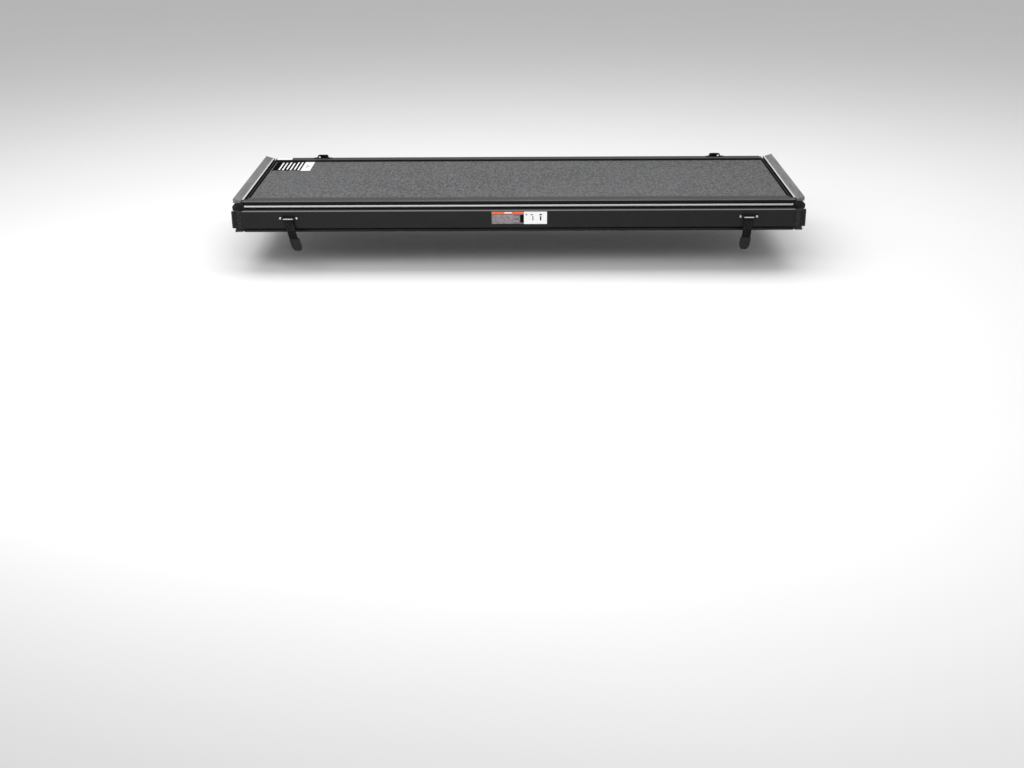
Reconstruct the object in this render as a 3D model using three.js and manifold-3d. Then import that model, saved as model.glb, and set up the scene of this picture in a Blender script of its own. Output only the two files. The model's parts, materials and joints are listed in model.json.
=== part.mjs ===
// A hard tri-fold tonneau cover, folded up on the front of a pickup bed.
// Millimetres. X runs across the truck, +Y to the cab, +Z up. The origin is the middle of the front
// panel, on the plane of the bed rails. Each panel is built flat in its own frame, underside at z = 0.
import * as THREE from "three";
import { mergeVertices } from "three/addons/utils/BufferGeometryUtils.js";
import Module from "manifold-3d";

const wasm = await Module();
wasm.setup();

// ---- driving dimensions ----------------------------------------------------------------------
const GAP = 0.3; // between pieces that touch
const PANEL_HEIGHT = 30.5;
const FOLD_GAP = 1.25; // between two panels of the folded stack
const FRONT_DEPTH = 570;
const MIDDLE_DEPTH = 560;
const TAIL_DEPTH = 555;

const BOARD_HALF = 796; // half width of a board
const BOARD_LOW = 6.3;
const BOARD_HIGH = 28.7;
const LIP_LOW = 29; // underside of the lips that cover the edges of a board
const LIP_REACH = 10; // how far a side rail's lip covers the board

const RAIL_END = 805.7; // a hinge rail stops here, and its cap begins
const CAP_START = 806;
const CAP_OUTER = 839.5; // over the corner caps
const OUTER_HALF = 836; // over the seals and the link
const WALL_HALF = 832; // outer wall of a side rail
const SEAL_START = 814;
const SEAL_HEIGHT = 6.2;
const SEAL_FLARE = 7; // how far the outer rib of a free seal hangs below its inner rib

const RAIL_DEPTH = 35; // flange of a cross rail, front to back
const POCKET_WALL = 16; // from the outer face of a cross rail to the edge of the board
const CAP_DEPTH = 15.7;

const HINGE_HEIGHT = PANEL_HEIGHT + FOLD_GAP / 2; // hinge axes, above an underside
const LINK_INSET = 9.8; // from a rail's outer face to the link's hinge axis
const ROD_RADIUS = 2.6;
const CLAW_INNER = 2.95;
const CLAW_OUTER = 5;
const NECK_HALF = 1;
const LINK_BASE_HALF = 24.6;
const LINK_BASE_HEIGHT = 14;

const TAIL_INSET = 6; // from a rail's outer face to the tail hinge axis
const KNUCKLE_OUTER = 4.2;
const KNUCKLE_INNER = 1.9;
const PIN_RADIUS = 1.5;
const KNUCKLES = 16;
const TAIL_HINGE_HALF = 785; // half length of the row of knuckles
const KNUCKLE_CLEARANCE = 0.6;

// Tools of a cut reach past every piece.
const PAST_SIDES = 900;
const PAST_RAIL = 50;
const PAST_TOP = 60;

const STACK_HEIGHT = 3 * PANEL_HEIGHT + 2 * FOLD_GAP;
const FRONT_FACE = -FRONT_DEPTH / 2; // y of the front panel's rear hinge rail
const LINK_AXIS_Y = FRONT_FACE - LINK_INSET;
const LINK_SPAN = STACK_HEIGHT - 2 * HINGE_HEIGHT; // between the link's two hinge axes
const TAIL_AXIS_Y = FRONT_FACE + MIDDLE_DEPTH + TAIL_INSET;

const WEBBING_HALF = 12.7;
const LOOP_BAR_RADIUS = 2;
const LOOP_BAR_HEIGHT = 9; // bar axis, off the face that the loop is screwed to
const LOOP_CLEAR_HALF = 14.3;
const REAR_LOOP_X = 669;
const REAR_LOOP_Z = 53;
const REAR_STRAP_LEANS = { left: 26, right: 12 }; // how far each end swings inward
const REAR_STRAP_LOW = -43; // tips of the rear buckles
const CAB_LOOP_X = 646;
const CAB_LOOP_Y = 265;

// ---- colours -----------------------------------------------------------------------------------
const paint = (color, roughness, metalness) =>
  new THREE.MeshStandardMaterial({ color, roughness, metalness });
const boardSkin = paint(0x3a3b3c, 0.8, 0);
const blackRail = paint(0x16171a, 0.35, 0.7);
const blackPlastic = paint(0x1b1c1d, 0.7, 0);
const sealRubber = paint(0x55575a, 0.75, 0);
const blackWebbing = paint(0x101010, 0.9, 0);
const bucklePlastic = paint(0x141415, 0.5, 0);
const loopSteel = paint(0x202124, 0.35, 0.9);
const brightSteel = paint(0xa8abaf, 0.3, 0.9);
const castAlloy = paint(0x8c8f93, 0.5, 0.8);

// ---- geometry helpers --------------------------------------------------------------------------
function solid(geometry) {
  const bare = geometry.index ? geometry.toNonIndexed() : geometry.clone();
  bare.deleteAttribute("normal");
  bare.deleteAttribute("uv");
  const merged = mergeVertices(bare, 1e-4);
  return new wasm.Manifold(
    new wasm.Mesh({
      numProp: 3,
      vertProperties: merged.attributes.position.array,
      triVerts: new Uint32Array(merged.index.array),
    }),
  );
}

function geometryOf(body) {
  const mesh = body.getMesh();
  const geometry = new THREE.BufferGeometry();
  geometry.setAttribute("position", new THREE.BufferAttribute(mesh.vertProperties, 3));
  geometry.setIndex(new THREE.BufferAttribute(mesh.triVerts, 1));
  const flat = geometry.toNonIndexed();
  flat.computeVertexNormals();
  return flat;
}

const join = (bodies) => bodies.reduce((all, body) => all.add(body));
const cut = (body, tools) => tools.reduce((left, tool) => left.subtract(tool), body);

function box(x0, x1, y0, y1, z0, z1) {
  const geometry = new THREE.BoxGeometry(x1 - x0, y1 - y0, z1 - z0);
  return solid(geometry.translate((x0 + x1) / 2, (y0 + y1) / 2, (z0 + z1) / 2));
}

const turned = {
  x: (geometry, middle, a, b) => geometry.rotateZ(-Math.PI / 2).translate(middle, a, b),
  y: (geometry, middle, a, b) => geometry.translate(a, middle, b),
  z: (geometry, middle, a, b) => geometry.rotateX(Math.PI / 2).translate(a, b, middle),
};

// A cylinder along "x", "y" or "z" from one end to the other, through (a, b) on the other two axes.
function cylinder(axis, from, to, a, b, radius, sides) {
  const geometry = new THREE.CylinderGeometry(radius, radius, to - from, sides);
  return solid(turned[axis](geometry, (from + to) / 2, a, b));
}

const ascending = (...values) => values.sort((a, b) => a - b);

function extrusion(outline, length) {
  const shape = new THREE.Shape(outline.map(([a, b]) => new THREE.Vector2(a, b)));
  return new THREE.ExtrudeGeometry(shape, { depth: length, bevelEnabled: false });
}

// A (y, z) section drawn out along X. The rotations take the section's plane to YZ, and its depth to X.
function alongX(outline, x0, x1, holes = []) {
  const geometry = extrusion(outline, x1 - x0);
  const outer = solid(geometry.rotateX(Math.PI / 2).rotateZ(Math.PI / 2).translate(x0, 0, 0));
  return cut(outer, holes.map((hole) => alongX(hole, x0 - 1, x1 + 1)));
}

// An (x, z) section drawn out along Y.
function alongY(outline, y0, y1) {
  const geometry = extrusion(outline, y1 - y0);
  return solid(geometry.rotateX(Math.PI / 2).translate(0, y1, 0));
}

// Points on an arc, in degrees, from one end to the other.
function arc(a, b, radius, from, to, steps) {
  return Array.from({ length: steps + 1 }, (_, i) => {
    const angle = THREE.MathUtils.degToRad(from + ((to - from) * i) / steps);
    return [a + radius * Math.cos(angle), b + radius * Math.sin(angle)];
  });
}

function piece(group, name, body, material) {
  const mesh = new THREE.Mesh(body.isBufferGeometry ? body : geometryOf(body), material.clone());
  mesh.name = name;
  group.add(mesh);
  return mesh;
}

// A piece modelled on the right (+X), with its mirror image on the left.
function pair(group, name, body, material) {
  const geometry = geometryOf(body);
  piece(group, `${name}_right`, geometry, material);
  piece(group, `${name}_left`, geometry, material).scale.x = -1;
}

// ---- sections ----------------------------------------------------------------------------------
const NOSE_LOW = HINGE_HEIGHT - 5.9; // underside of the nose at the top of an outer face

// Cross rails are drawn as (d, z), where d is the distance out from the rail's outer face.
const BEAD = { d: -3, z: 18.2, radius: 3.4 };

function outerFace(lip) {
  return [
    [0, 0],
    [0, lip],
    [-5, lip + 0.6],
    [-5, BEAD.z - 6],
    ...arc(BEAD.d, BEAD.z, BEAD.radius, -75, 75, 8),
    [-3.6, BEAD.z + 4.6],
    [-3.6, NOSE_LOW - 1.2],
  ];
}

const boardPocket = [
  [-RAIL_DEPTH, PANEL_HEIGHT],
  [-RAIL_DEPTH, LIP_LOW],
  [-POCKET_WALL, LIP_LOW],
  [-POCKET_WALL, BOARD_LOW - GAP],
  [-RAIL_DEPTH, BOARD_LOW - GAP],
  [-RAIL_DEPTH, 0],
];

const railChambers = [
  [
    [-14, 8],
    [-14, LIP_LOW - 2],
    [-6, LIP_LOW - 2],
    [-6, BEAD.z - 3.9],
    [-6.8, BEAD.z - 5.9],
    [-6.8, 8],
  ],
  [
    [-RAIL_DEPTH + 2, 1.8],
    [-RAIL_DEPTH + 2, 4.2],
    [-POCKET_WALL - 2, 4.2],
    [-POCKET_WALL - 2, 1.8],
  ],
];

// The claw opens downward and outward, where the link's neck swings.
function clawRailSection(lip) {
  const d = LINK_INSET;
  const z = HINGE_HEIGHT;
  return [
    ...outerFace(lip),
    [0, NOSE_LOW],
    [d - 4.1, NOSE_LOW + 0.4],
    ...arc(d, z, CLAW_OUTER, 236, 240, 1),
    ...arc(d, z, CLAW_INNER, 240, 30, 12),
    ...arc(d, z, CLAW_OUTER, 30, 187, 9),
    ...boardPocket,
  ];
}

function plainRailSection(lip) {
  const round = arc(-3, PANEL_HEIGHT - 3, 3, 0, 90, 4);
  return [...outerFace(lip), [0, NOSE_LOW], ...round, ...boardPocket];
}

const sideRailSection = [
  [799, 1],
  [801, 1],
  [801, 9.5],
  [807, 9.5],
  [807, 0],
  [813.5, 0],
  [813.5, 6.5],
  [WALL_HALF, 6.5],
  ...arc(WALL_HALF - 5, PANEL_HEIGHT - 5, 5, 0, 90, 5),
  [BOARD_HALF - LIP_REACH, PANEL_HEIGHT],
  [BOARD_HALF - LIP_REACH, LIP_LOW],
  [BOARD_HALF + GAP, LIP_LOW],
  [BOARD_HALF + GAP, 12],
  [799, 12],
];

// Ribbed foot under the side rail, with a lip that wraps the rail's outer wall. A seal that nothing
// presses on flares, so that its foot slopes down to its outer edge.
function sealSection(flare) {
  const drop = (x) => (flare * (x - SEAL_START)) / (OUTER_HALF - SEAL_START);
  const ribs = [[SEAL_START, 0.9]];
  for (const [from, to] of [
    [815, 818],
    [819.4, 822],
    [823.4, 828.6],
    [830, 835],
  ]) {
    ribs.push([from, 0], [to, 0], [to + 0.4, 1], [to + 0.9, 1]);
  }
  ribs.splice(-2, 2, [OUTER_HALF, 1]);
  return [
    ...ribs.map(([x, z]) => [x, z - drop(x)]),
    [OUTER_HALF, 9],
    [OUTER_HALF - 1.4, 11],
    [WALL_HALF + GAP, 11],
    [WALL_HALF + GAP, SEAL_HEIGHT],
    [SEAL_START, SEAL_HEIGHT],
  ];
}

// The link, drawn as (u, v): u from its middle toward the front panel's side, v up from its outer face.
const linkAxis = LINK_SPAN / 2;
const neckRise = Math.sqrt(ROD_RADIUS ** 2 - NECK_HALF ** 2);
const neckAngle = THREE.MathUtils.radToDeg(Math.asin(NECK_HALF / ROD_RADIUS));

const linkHalfSection = [
  [LINK_BASE_HALF, 0.8],
  [LINK_BASE_HALF, LINK_BASE_HEIGHT - 1],
  [LINK_BASE_HALF - 1, LINK_BASE_HEIGHT],
  [linkAxis + NECK_HALF, LINK_BASE_HEIGHT],
  [linkAxis + NECK_HALF, HINGE_HEIGHT - neckRise],
  ...arc(linkAxis, HINGE_HEIGHT, ROD_RADIUS, -90 + neckAngle, 270 - neckAngle, 14).slice(1),
  [linkAxis - NECK_HALF, HINGE_HEIGHT - 6.6],
  [linkAxis - 6.2, HINGE_HEIGHT - 6.6],
  [linkAxis - 6.2, PANEL_HEIGHT],
];
const mirrored = (points) => points.map(([u, v]) => [-u, v]).reverse();
const linkSection = [
  [LINK_BASE_HALF - 0.8, 0],
  ...linkHalfSection,
  ...mirrored(linkHalfSection),
  [-LINK_BASE_HALF + 0.8, 0],
];
const linkChamberHalf = [
  [linkAxis - 3.9, 2.4],
  [linkAxis - 3.9, HINGE_HEIGHT - 9.1],
  [linkAxis - 8.5, HINGE_HEIGHT - 9.1],
  [linkAxis - 8.5, PANEL_HEIGHT - 2.5],
];
const linkChambers = [
  [...linkChamberHalf, ...mirrored(linkChamberHalf)],
  ...[-1, 1].map((side) => [
    [side * (linkAxis - 1.5), 2.4],
    [side * (linkAxis - 1.5), LINK_BASE_HEIGHT - 2.4],
    [side * (LINK_BASE_HALF - 2.4), LINK_BASE_HEIGHT - 2.4],
    [side * (LINK_BASE_HALF - 2.4), 2.4],
  ]),
];

// ---- panel pieces ------------------------------------------------------------------------------
// side is +1 for a rail at the panel's +Y end and -1 at its -Y end.
const atEdge = (section, edge, side) => {
  const placed = section.map(([d, z]) => [edge + side * d, z]);
  return side > 0 ? placed : placed.reverse();
};

// Room for the side rails at both ends of a cross rail, from a depth inside its outer face.
function notches(halfStart, edge, side, depth, z0) {
  const y = ascending(edge - side * depth, edge - side * PAST_RAIL);
  return [
    box(halfStart, PAST_SIDES, ...y, z0, PAST_TOP),
    box(-PAST_SIDES, -halfStart, ...y, z0, PAST_TOP),
  ];
}

const lipNotches = (edge, side, depth) =>
  notches(BOARD_HALF - LIP_REACH - GAP, edge, side, depth, LIP_LOW - GAP);

// The joint of a rail's outer part with its cap leans inward, up the rail's face, as (x, z).
const MITRE = { low: 7, high: NOSE_LOW - 1, out: 3, inward: 4.5 };
const railMitre = [
  [CAP_START + MITRE.out - GAP, -PAST_TOP],
  [CAP_START + MITRE.out - GAP, MITRE.low],
  [CAP_START - MITRE.inward - GAP, MITRE.high],
  [RAIL_END, MITRE.high],
  [RAIL_END, PAST_TOP],
];
const capMitre = [
  [CAP_START + MITRE.out, -PAST_TOP],
  [CAP_START + MITRE.out, MITRE.low],
  [CAP_START - MITRE.inward + GAP, MITRE.high - 2 * GAP],
  [CAP_START, MITRE.high - 2 * GAP],
  [CAP_START, PAST_TOP],
];

// A rail whose outer part runs on to the corner caps. The rest of its ends gives way to the side rails.
function cappedRail(section, edge, side) {
  const half = CAP_START + MITRE.out;
  const holes = railChambers.map((hole) => atEdge(hole, edge, side));
  const rail = alongX(atEdge(section, edge, side), -half, half, holes);
  const outside = [[PAST_SIDES, -PAST_TOP], ...railMitre, [PAST_SIDES, PAST_TOP]].reverse();
  const otherSide = outside.map(([x, z]) => [-x, z]).reverse();
  const y = ascending(edge - side * PAST_RAIL, edge + side * PAST_RAIL);
  return cut(rail, [
    ...notches(BOARD_HALF - GAP, edge, side, CAP_DEPTH - GAP, -PAST_TOP),
    ...lipNotches(edge, side, CAP_DEPTH),
    alongY(outside, ...y),
    alongY(otherSide, ...y),
  ]);
}

const clawRail = (edge, side, lip) => cappedRail(clawRailSection(lip), edge, side);

function plainRail(edge, side, lip) {
  const holes = railChambers.map((hole) => atEdge(hole, edge, side));
  const half = BOARD_HALF - GAP;
  const rail = alongX(atEdge(plainRailSection(lip), edge, side), -half, half, holes);
  return cut(rail, lipNotches(edge, side, -LINK_INSET));
}

// Every second knuckle of the tail hinge, starting with the first or the second.
function knuckleRail(edge, side, lip, first) {
  const pitch = (2 * TAIL_HINGE_HALF) / KNUCKLES;
  const axis = edge + side * TAIL_INSET;
  const leaf = [
    [-1, NOSE_LOW + 0.1],
    [TAIL_INSET - 1, NOSE_LOW + 2],
    [TAIL_INSET - 1, PANEL_HEIGHT],
    [-1, PANEL_HEIGHT],
  ];
  const knuckles = [];
  for (let i = first; i < KNUCKLES; i += 2) {
    const x0 = -TAIL_HINGE_HALF + i * pitch + KNUCKLE_CLEARANCE / 2;
    const x1 = x0 + pitch - KNUCKLE_CLEARANCE;
    knuckles.push(alongX(atEdge(leaf, edge, side), x0, x1));
    knuckles.push(cylinder("x", x0, x1, axis, HINGE_HEIGHT, KNUCKLE_OUTER, 16));
  }
  const bore = cylinder("x", -PAST_SIDES, PAST_SIDES, axis, HINGE_HEIGHT, KNUCKLE_INNER, 12);
  return cut(join([plainRail(edge, side, lip), ...knuckles]), [bore]);
}

function sideRail(y0, y1, openEnd) {
  const rail = alongY(sideRailSection, y0, y1);
  const wall = 3;
  const span = openEnd < 0 ? [y0 - 1, y1 - wall] : [y0 + wall, y1 + 1];
  return cut(rail, [
    box(803, WALL_HALF - 2.5, ...span, 12.5, PANEL_HEIGHT - 3),
    box(815.5, WALL_HALF - 2.5, ...span, 8.8, 13),
  ]);
}

const board = (y0, y1) => box(-BOARD_HALF, BOARD_HALF, y0, y1, BOARD_LOW, BOARD_HIGH);

// The seal runs on over the corner cap, where its lip stops.
function sideSeal(y0, y1, capEdge, side, flare) {
  const capped = ascending(capEdge, capEdge - side * (CAP_DEPTH + GAP));
  return cut(alongY(sealSection(flare), y0, y1), [
    box(WALL_HALF - 1, PAST_SIDES, capped[0] - 1, capped[1] + 1, SEAL_HEIGHT, PAST_TOP),
  ]);
}

// A moulded block that closes the corner of a panel, modelled on the right. It makes room for the
// seal, its outer corner is bevelled, and a groove marks where its ribbed end begins.
function railCap(edge, side) {
  const low = SEAL_HEIGHT + GAP;
  const section = [
    [0, 3],
    [0, NOSE_LOW - 1.2],
    [-3, PANEL_HEIGHT - 1],
    [-CAP_DEPTH + GAP, PANEL_HEIGHT - 1],
    [-CAP_DEPTH + GAP, 1.5],
    [-1.5, 1.5],
  ];
  const block = alongX(atEdge(section, edge, side), CAP_START - 10, CAP_OUTER);
  const outline = [
    ...capMitre,
    [CAP_OUTER, PAST_TOP],
    [CAP_OUTER, low + 10],
    [CAP_OUTER - 9, low],
    [SEAL_START - GAP, low],
    [SEAL_START - GAP, -PAST_TOP],
  ].reverse();
  const profile = alongY(outline, ...ascending(edge - side * PAST_RAIL, edge + side * PAST_RAIL));
  const grooveDepth = ascending(edge - side, edge + side);
  const groove = box(CAP_START + 12, CAP_START + 13.2, ...grooveDepth, -PAST_TOP, PAST_TOP);
  return cut(block.intersect(profile), [groove]);
}

function addFrontPanel(root) {
  const panel = new THREE.Group();
  const rear = FRONT_FACE;
  const cab = -rear;
  piece(panel, "front_panel_board", board(rear + POCKET_WALL + GAP, cab - POCKET_WALL - GAP), boardSkin);
  piece(panel, "front_rail_hinge", clawRail(rear, -1, 7), blackRail);
  piece(panel, "front_rail_bulkhead", plainRail(cab, 1, 4), blackRail);
  pair(panel, "front_rail", sideRail(rear + CAP_DEPTH, cab, -1), blackRail);
  pair(panel, "front_rail_cap", railCap(rear, -1), blackPlastic);
  pair(panel, "front_seal", sideSeal(rear, cab, rear, -1, 0), sealRubber);
  const bulb = [[0, 1], [3, 2], ...arc(0.8, 6.4, 3.4, -40, 40, 4), [3, 11], [0, 11.8]];
  const half = BOARD_HALF - 2;
  const bulkheadSeal = alongX(bulb.map(([d, z]) => [cab + GAP + d, z]), -half, half);
  piece(panel, "bulkhead_seal", bulkheadSeal, sealRubber);
  root.add(panel);
}

function addMiddlePanel(root) {
  const panel = new THREE.Group();
  const linkEdge = MIDDLE_DEPTH / 2;
  const tailEdge = -linkEdge;
  panel.rotation.x = Math.PI;
  panel.position.set(0, FRONT_FACE + linkEdge, STACK_HEIGHT);
  const inset = POCKET_WALL + GAP;
  piece(panel, "middle_panel_board", board(tailEdge + inset, linkEdge - inset), boardSkin);
  piece(panel, "middle_rail_link", clawRail(linkEdge, 1, 4), blackRail);
  piece(panel, "middle_rail_tail", knuckleRail(tailEdge, -1, 4, 0), blackRail);
  pair(panel, "middle_rail", sideRail(tailEdge, linkEdge - CAP_DEPTH, 1), blackRail);
  pair(panel, "middle_rail_cap", railCap(linkEdge, 1), blackPlastic);
  pair(panel, "middle_seal", sideSeal(tailEdge, linkEdge, linkEdge, 1, SEAL_FLARE), sealRubber);
  root.add(panel);
}

function addTailPanel(root) {
  const panel = new THREE.Group();
  const hingeEdge = TAIL_DEPTH / 2;
  const rear = -hingeEdge;
  panel.position.set(0, TAIL_AXIS_Y - TAIL_INSET - hingeEdge, PANEL_HEIGHT + FOLD_GAP);
  const inset = POCKET_WALL + GAP;
  const pockets = [-1, 1].map((side) => latchPocket(side, rear));
  piece(panel, "tail_panel_board", cut(board(rear + inset, hingeEdge - inset), pockets), boardSkin);
  piece(panel, "tail_rail_hinge", knuckleRail(hingeEdge, 1, 4, 1), blackRail);
  piece(panel, "tail_rail_rear", cappedRail(plainRailSection(4), rear, -1), blackRail);
  pair(panel, "tail_rail", sideRail(rear + CAP_DEPTH, hingeEdge, -1), blackRail);
  pair(panel, "tail_rail_cap", railCap(rear, -1), blackPlastic);
  pair(panel, "tail_seal", sideSeal(rear, hingeEdge, rear, -1, 0), sealRubber);
  const bulb = [[0, 1], [2.4, 2], ...arc(0.4, 6.4, 3.2, -40, 40, 4), [2.4, 11], [0, 11.8]];
  const half = BOARD_HALF - 2;
  const placed = bulb.map(([d, z]) => [rear - GAP - d, z]).reverse();
  piece(panel, "tailgate_seal", alongX(placed, -half, half), sealRubber);
  addLatches(panel, rear);
  root.add(panel);
}

// ---- tail latches ------------------------------------------------------------------------------
const LATCH = { x0: 690, x1: 760, y: 68, halfWidth: 22, low: 2, high: 24, wall: 6 };
const BOLT = { x0: 720, x1: 757, halfWidth: 6.6, low: 8.4, high: 17.6, bevel: 7 };
const MOUTH = { x0: 738, x1: 752, halfWidth: 12, high: 20 };
const CABLE = { y: 18, z: 4, radius: 1.8 };
const HANDLE = { half: 34, y: 1.5, halfWidth: 12, low: 1.2, high: 5.2, slotHalf: 22 };

function latchPocket(side, rear) {
  const x = ascending(side * (LATCH.x0 - 1), side * (LATCH.x1 + 1));
  const y = rear + LATCH.y;
  const reach = LATCH.halfWidth + 1;
  return box(...x, y - reach, y + reach, 0, LATCH.high + 0.5);
}

function addLatches(panel, rear) {
  const y = rear + LATCH.y;
  const shell = box(LATCH.x0, LATCH.x1, y - LATCH.halfWidth, y + LATCH.halfWidth, LATCH.low, LATCH.high);
  const play = 0.4;
  const channel = box(
    LATCH.x0 + LATCH.wall,
    LATCH.x1 + 1,
    y - BOLT.halfWidth - play,
    y + BOLT.halfWidth + play,
    BOLT.low - play,
    BOLT.high + play,
  );
  const mouth = box(MOUTH.x0, MOUTH.x1, y - MOUTH.halfWidth, y + MOUTH.halfWidth, -1, MOUTH.high);
  pair(panel, "latch_housing", cut(shell, [channel, mouth]), castAlloy);

  const bolt = [
    [BOLT.x0, BOLT.low],
    [BOLT.x1 - BOLT.bevel, BOLT.low],
    [BOLT.x1, BOLT.high - 2],
    [BOLT.x1, BOLT.high],
    [BOLT.x0, BOLT.high],
  ];
  pair(panel, "latch_bolt", alongY(bolt, y - BOLT.halfWidth, y + BOLT.halfWidth), brightSteel);

  const reach = LATCH.x0 - GAP;
  const cable = cylinder("x", -reach, reach, y + CABLE.y, CABLE.z, CABLE.radius, 8);
  piece(panel, "latch_cable", cable, blackPlastic);

  const middle = y + HANDLE.y;
  const sides = [middle - HANDLE.halfWidth, middle + HANDLE.halfWidth];
  const grip = box(-HANDLE.half, HANDLE.half, ...sides, HANDLE.low, HANDLE.high);
  const fingers = box(-HANDLE.slotHalf, HANDLE.slotHalf, middle - 6, middle + 5, 0, PAST_TOP);
  piece(panel, "latch_handle", cut(grip, [fingers]), bucklePlastic);
}

// ---- hinge link --------------------------------------------------------------------------------
const LINK_GROOVE = { inset: 14, pitch: 4.2, width: 1.6, depth: 0.8 }; // down the face of an end cap

function addLink(root) {
  const link = new THREE.Group();
  link.rotation.x = -Math.PI / 2;
  link.position.set(0, LINK_AXIS_Y - HINGE_HEIGHT, STACK_HEIGHT / 2);
  piece(link, "hinge_link_rail", alongX(linkSection, -RAIL_END, RAIL_END, linkChambers), blackRail);

  const half = [
    [LINK_BASE_HALF, 1],
    [LINK_BASE_HALF, LINK_BASE_HEIGHT - 1],
    [LINK_BASE_HALF - 2, LINK_BASE_HEIGHT + 1],
    [linkAxis - 1, LINK_BASE_HEIGHT + 3],
    [linkAxis - 3, HINGE_HEIGHT - 7.1],
    [linkAxis - 6.5, HINGE_HEIGHT - 6.1],
    [linkAxis - 6.5, PANEL_HEIGHT - 0.5],
  ];
  const ends = [[LINK_BASE_HALF - 1, 0], ...half, ...mirrored(half), [-LINK_BASE_HALF + 1, 0]];
  const grooves = [];
  for (let x = CAP_START + LINK_GROOVE.inset; x < OUTER_HALF - 3; x += LINK_GROOVE.pitch) {
    grooves.push(box(x, x + LINK_GROOVE.width, -PAST_RAIL, PAST_RAIL, -1, LINK_GROOVE.depth));
  }
  const outline = [
    [CAP_START, -1],
    [OUTER_HALF - 5, -1],
    [OUTER_HALF, 5],
    [OUTER_HALF, PAST_TOP],
    [CAP_START, PAST_TOP],
  ];
  const block = alongX(ends, CAP_START, OUTER_HALF).intersect(alongY(outline, -PAST_RAIL, PAST_RAIL));
  pair(link, "link_end_cap", cut(block, grooves), blackPlastic);
  root.add(link);
}

// ---- footman loops and straps ------------------------------------------------------------------
const SIDES = [
  ["right", 1],
  ["left", -1],
];

// A loop stands on the plane w = 0, its bar along X. Sections are (x, w), drawn out along the face.
function footmanLoop() {
  const halfWide = 4.2;
  const sides = [-1, 1].map((side) => {
    const leg = [
      [LOOP_CLEAR_HALF, GAP],
      [LOOP_CLEAR_HALF, LOOP_BAR_HEIGHT + LOOP_BAR_RADIUS],
      [LOOP_CLEAR_HALF + 1.6, LOOP_BAR_HEIGHT + LOOP_BAR_RADIUS],
      [LOOP_CLEAR_HALF + 4.6, 3],
      [LOOP_CLEAR_HALF + 14.6, 2.4],
      [LOOP_CLEAR_HALF + 15.4, GAP],
    ].map(([x, w]) => [side * x, w]);
    return alongY(side > 0 ? leg.reverse() : leg, -halfWide, halfWide);
  });
  const reach = LOOP_CLEAR_HALF + 0.8;
  const bar = cylinder("x", -reach, reach, 0, LOOP_BAR_HEIGHT, LOOP_BAR_RADIUS, 12);
  return join([...sides, bar]);
}

// Webbing that wraps the bar at (0, 0), then follows the outline. Each section is (y, z).
const WRAP_INNER = LOOP_BAR_RADIUS + 0.4;
const WRAP_OUTER = WRAP_INNER + 1.5;

function strapBody(tailOutline) {
  const wrap = cylinder("x", -WEBBING_HALF, WEBBING_HALF, 0, 0, WRAP_OUTER, 16);
  const bore = cylinder("x", -30, 30, 0, 0, WRAP_INNER, 16);
  return cut(join([wrap, alongX(tailOutline, -WEBBING_HALF, WEBBING_HALF)]), [bore]);
}

// Moves every point sideways in proportion to how far it hangs below the start of the lean.
function leaning(body, start, slope) {
  const geometry = geometryOf(body);
  const position = geometry.attributes.position;
  for (let i = 0; i < position.count; i += 1) {
    const drop = Math.max(0, start - position.getZ(i));
    position.setX(i, position.getX(i) + slope * drop);
  }
  geometry.computeVertexNormals();
  return geometry;
}

const BUCKLE = { half: 15, height: 36, front: -5.2, back: 3.4, socket: 7 };

// Half of a side-release buckle, hanging from z = 0. The strap's end is in a socket at its top, and
// its mouth, which takes the other half's prongs, is at its tip.
function halfBuckle() {
  const right = [
    [13.4, 0.5],
    [BUCKLE.half, -2.5],
    [BUCKLE.half, -15],
    [BUCKLE.half - 0.8, -22],
    [BUCKLE.half - 2.6, 7 - BUCKLE.height],
    [BUCKLE.half - 5, 3 - BUCKLE.height],
    [BUCKLE.half - 8.5, 1 - BUCKLE.height],
  ];
  const outline = [...right.map(([x, z]) => [-x, z]), ...right.reverse()];
  const socket = box(-WEBBING_HALF - 1, WEBBING_HALF + 1, -2.4, 1.6, -BUCKLE.socket, 3);
  const mouth = box(-8.5, 8.5, -2.4, 1.4, -PAST_RAIL, -21);
  return cut(alongY(outline, BUCKLE.front, BUCKLE.back), [socket, mouth]);
}

function addRearStraps(root) {
  const bar = new THREE.Vector3(0, LINK_AXIS_Y - HINGE_HEIGHT - LOOP_BAR_HEIGHT, REAR_LOOP_Z);
  const drop = REAR_LOOP_Z - REAR_STRAP_LOW;
  const strapEnd = drop - BUCKLE.height + BUCKLE.socket - 1;
  const hang = [
    [-WRAP_OUTER + 0.2, 0],
    [-2.3, -9],
    [-2.1, -strapEnd],
    [0.3, -strapEnd],
    [0.4, -9],
    [WRAP_OUTER - 0.4, 0],
  ].reverse();
  for (const [side, sign] of SIDES) {
    const group = new THREE.Group();
    group.position.set(sign * REAR_LOOP_X, bar.y, bar.z);
    const loop = piece(group, `rear_strap_loop_${side}`, footmanLoop(), loopSteel);
    loop.rotation.x = Math.PI / 2;
    loop.position.set(0, LOOP_BAR_HEIGHT, 0);
    const slope = (-sign * REAR_STRAP_LEANS[side]) / drop;
    const start = -6;
    piece(group, `rear_strap_${side}`, leaning(strapBody(hang), start, slope), blackWebbing);
    const top = -(drop - BUCKLE.height);
    const shape = leaning(halfBuckle(), PAST_TOP, slope);
    const buckle = piece(group, `rear_buckle_${side}`, shape, bucklePlastic);
    buckle.position.set(slope * (start - top - PAST_TOP), 0, top);
    root.add(group);
  }
}

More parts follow.
